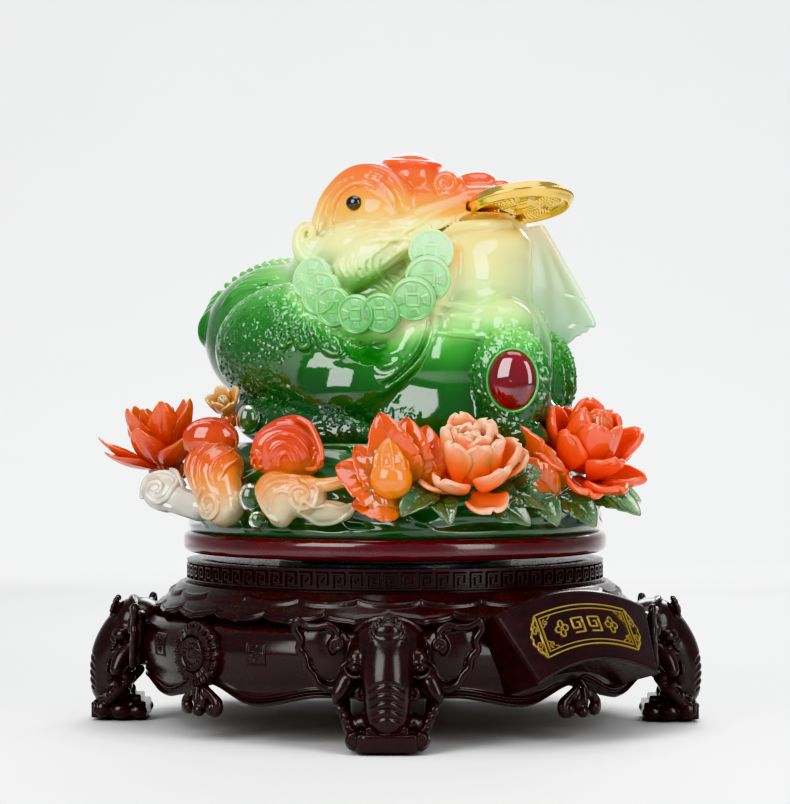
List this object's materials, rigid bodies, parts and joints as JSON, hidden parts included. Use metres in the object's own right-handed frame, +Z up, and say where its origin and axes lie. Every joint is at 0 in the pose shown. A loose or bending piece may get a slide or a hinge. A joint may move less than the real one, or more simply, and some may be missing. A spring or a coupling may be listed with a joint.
{
  "type": "jade toad figurine",
  "caption": "Translucent resin toad with a gold coin in its mouth, on a flowered mound, a turning lacquered disc and a round elephant-leg pedestal.",
  "frame": {"origin": "centre of the footprint of the four feet, on the ground", "axes": "+Z up, the front elephant leg and the plaque face -Y, the mouth coin points to +X"},
  "size_m": [0.322, 0.322, 0.3017],
  "materials": {
    "dark_wood": "satin rosewood-look resin",
    "red_lacquer": "gloss lacquer",
    "steel": "zinc plated",
    "race_steel": "pressed and zinc plated",
    "felt": "felt",
    "fibreboard": "plain board",
    "cage_plastic": "moulded",
    "bush_brass": "turned",
    "gold": "polished gold plating",
    "jade_resin": "polished translucent resin, green to orange",
    "green_resin": "polished translucent resin",
    "orange_resin": "polished translucent resin",
    "peach_resin": "satin translucent resin",
    "red_resin": "polished translucent resin",
    "ruby": "polished glass stone",
    "black_bead": "polished bead"
  },
  "bodies": {
    "pedestal": {"pedestal_drum": "dark_wood", "fret_band": "dark_wood", "scalloped_collar": "dark_wood", "apron_moulding": "dark_wood", "elephant_leg_front": "dark_wood", "elephant_leg_right": "dark_wood", "elephant_leg_back": "dark_wood", "elephant_leg_left": "dark_wood", "leg_screws": "steel", "felt_pads": "felt", "base_cover": "fibreboard", "cover_screws": "steel", "medallions": "dark_wood", "plaque": "dark_wood", "plaque_inlay": "gold", "lower_race": "race_steel", "lower_race_screws": "steel", "pivot_bolt": "steel", "pivot_washers": "steel", "pivot_nut": "steel"},
    "ball_cage_body": {"ball_cage": "cage_plastic", "bearing_balls": "steel"},
    "turntable": {"upper_race": "race_steel", "upper_race_screws": "steel", "pivot_bush": "bush_brass", "lacquer_disc": "red_lacquer", "mound_screws": "steel", "mound": "green_resin", "toad_studs": "steel", "stud_nuts": "steel", "toad": "jade_resin", "toad_eyes": "black_bead", "shoulder_stones": "ruby", "cloud_bank": "orange_resin", "ruyi_cloud": "orange_resin", "spiral_cloud": "orange_resin", "lotus": "red_resin", "small_blossom": "orange_resin", "peach_peony": "peach_resin", "red_peony": "red_resin", "flower_bud": "orange_resin", "orange_leaves": "orange_resin", "green_leaves": "green_resin"},
    "coin": {"mouth_coin": "gold"}
  },
  "joints": [
    {"name": "turntable_spin", "type": "hinge", "parent": "pedestal", "child": "turntable", "pos_m": [0, 0, 0.09], "axis": [0, 0, 1], "continuous": true},
    {"name": "cage_spin", "type": "hinge", "parent": "pedestal", "child": "ball_cage_body", "pos_m": [0, 0, 0.0855], "axis": [0, 0, 1], "continuous": true},
    {"name": "coin_slide", "type": "slide", "parent": "turntable", "child": "coin", "axis": [0.874, -0.4454, 0.1942], "range_m": [0, 0.05]}
  ],
  "couplings": [
    {"joint": "cage_spin", "follows": "turntable_spin", "ratio": 0.5}
  ]
}
